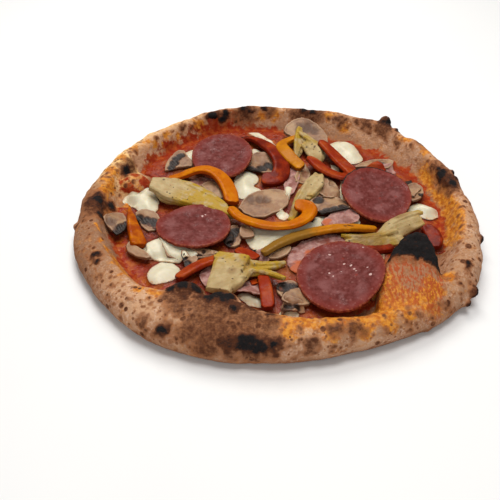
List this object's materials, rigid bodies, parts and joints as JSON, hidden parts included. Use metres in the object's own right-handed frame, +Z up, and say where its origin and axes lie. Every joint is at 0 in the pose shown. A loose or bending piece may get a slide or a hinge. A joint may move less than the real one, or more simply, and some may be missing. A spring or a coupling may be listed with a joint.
{
  "type": "capricciosa pizza",
  "caption": "whole round pizza with a puffed burnt-spotted crust, tomato sauce, melted cheese, salami, ham, mushrooms, artichokes and pepper strips",
  "frame": {"origin": "middle of the flat underside, on the surface that the pizza lies on", "axes": "+Z up; +X to the right and +Y away, seen from the side where the rim is widest"},
  "size_m": [0.296, 0.2882, 0.037],
  "materials": {
    "crust": "baked, matt, with burnt spots",
    "tomato_sauce": "cooked, moist",
    "cheese": "melted, soft sheen",
    "ham": "cooked, moist",
    "mushroom": "cooked, moist, dark gills",
    "salami": "baked, oily sheen",
    "artichoke": "cooked in oil",
    "pepper_red": "roasted, glossy skin",
    "pepper_orange": "roasted, glossy skin",
    "pepper_yellow": "roasted, glossy skin"
  },
  "bodies": {
    "root": {"artichoke_back": "artichoke", "artichoke_centre": "artichoke", "artichoke_front": "artichoke", "artichoke_left": "artichoke", "artichoke_right": "artichoke", "cheese_back_centre": "cheese", "cheese_back_left_sliver": "cheese", "cheese_back_right": "cheese", "cheese_centre": "cheese", "cheese_front": "cheese", "cheese_front_left": "cheese", "cheese_front_tip": "cheese", "cheese_in_red_hook": "cheese", "cheese_left": "cheese", "cheese_left_back": "cheese", "cheese_mid_right": "cheese", "cheese_right": "cheese", "crust": "crust", "ham_back": "ham", "ham_centre": "ham", "ham_front": "ham", "ham_front_left": "ham", "ham_in_orange_arc": "ham", "ham_mid_right": "ham", "mushroom_back_dark": "mushroom", "mushroom_back_left": "mushroom", "mushroom_back_right": "mushroom", "mushroom_back_ring": "mushroom", "mushroom_centre_sliver": "mushroom", "mushroom_front_bits": "mushroom", "mushroom_front_dark": "mushroom", "mushroom_front_left": "mushroom", "mushroom_front_plate": "mushroom", "mushroom_in_orange_arc": "mushroom", "mushroom_left": "mushroom", "mushroom_left_mid": "mushroom", "mushroom_left_plate": "mushroom", "mushroom_mid_cap": "mushroom", "mushroom_mid_dark": "mushroom", "mushroom_mid_right": "mushroom", "mushroom_mid_right_gills": "mushroom", "mushroom_plate": "mushroom", "mushroom_right": "mushroom", "pepper_dark_right": "pepper_red", "pepper_far_right": "pepper_red", "pepper_long_strip": "pepper_yellow", "pepper_orange_arc": "pepper_orange", "pepper_orange_ring": "pepper_orange", "pepper_orange_wedge": "pepper_orange", "pepper_red_chunk": "pepper_red", "pepper_red_front": "pepper_red", "pepper_red_hook": "pepper_red", "pepper_red_loop": "pepper_red", "pepper_red_upright": "pepper_red", "pepper_yellow_ring": "pepper_yellow", "salami_back": "salami", "salami_front": "salami", "salami_left": "salami", "salami_right": "salami", "tomato_sauce": "tomato_sauce"}
  },
  "joints": []
}
